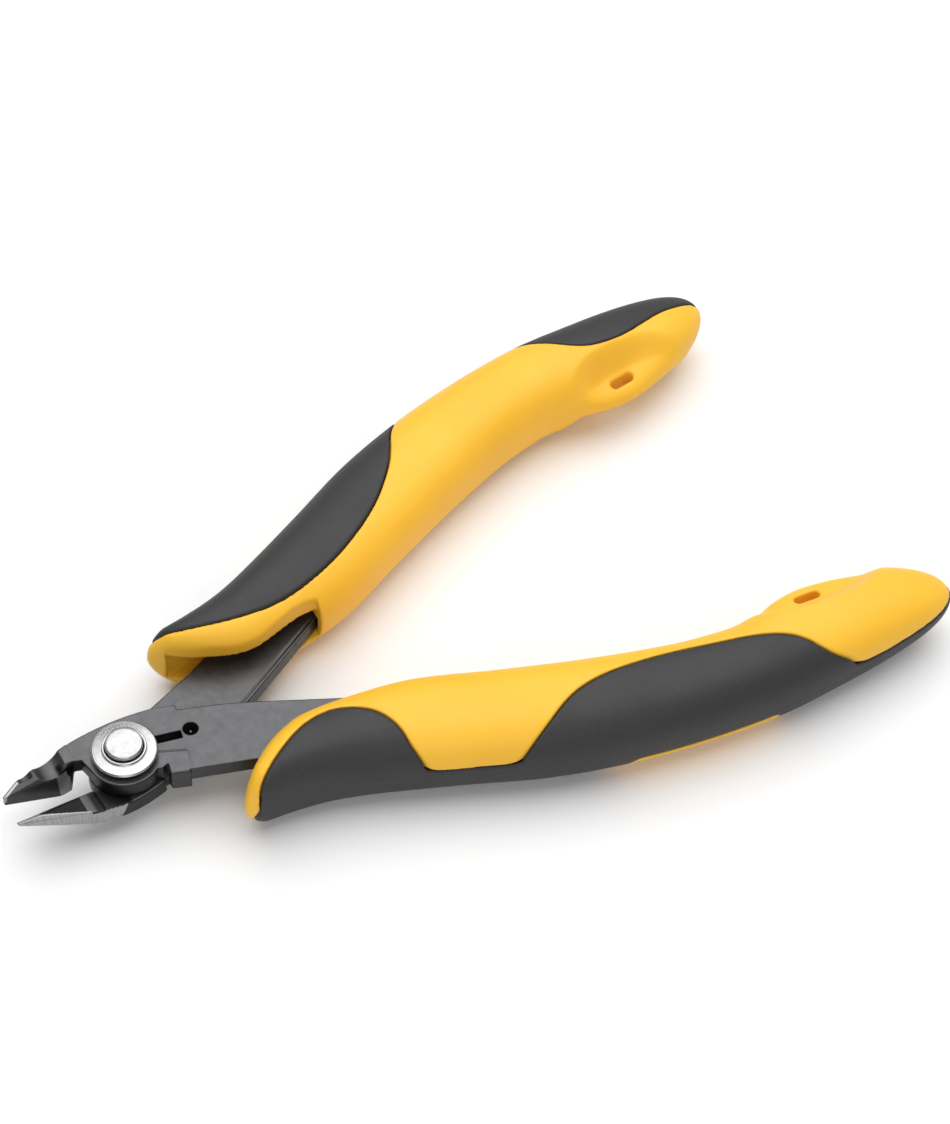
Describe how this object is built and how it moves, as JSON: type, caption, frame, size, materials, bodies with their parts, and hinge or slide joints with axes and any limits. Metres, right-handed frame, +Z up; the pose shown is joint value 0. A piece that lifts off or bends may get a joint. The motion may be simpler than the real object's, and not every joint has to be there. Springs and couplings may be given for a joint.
{
  "type": "diagonal cutting pliers",
  "caption": "Spring-opened diagonal cutters: two riveted levers with angled flush-ground jaws, in moulded two-part handles with a lanyard slot at each end.",
  "frame": {"origin": "under the middle of the tool's box, on the plane its handles lie on", "axes": "+X from the jaws to the handle ends along the line that halves the handles' angle, +Y towards the far handle, +Z up along the pivot"},
  "size_m": [0.143, 0.079, 0.0142],
  "materials": {
    "lever_steel": "satin",
    "rivet_steel": "satin",
    "washer_steel": "polished",
    "spring_wire": "satin",
    "handle_core": "satin",
    "handle_grip": "matte"
  },
  "bodies": {
    "front_half": {"front_lever": "lever_steel", "pivot_rivet": "rivet_steel", "front_washer": "washer_steel", "rear_washer": "washer_steel", "return_spring": "spring_wire", "near_handle_core": "handle_core", "near_handle_grip": "handle_grip"},
    "rear_half": {"rear_lever": "lever_steel", "far_handle_core": "handle_core", "far_handle_grip": "handle_grip"}
  },
  "joints": [
    {"name": "pivot", "type": "hinge", "parent": "front_half", "child": "rear_half", "pos_m": [-0.0534, 0, 0.00709], "axis": [0, 0, 1], "range_deg": [-10.2, 0], "stiffness_Nm_per_rad": 0.57, "springref_deg": 14.9, "deforming": ["return_spring"]}
  ]
}
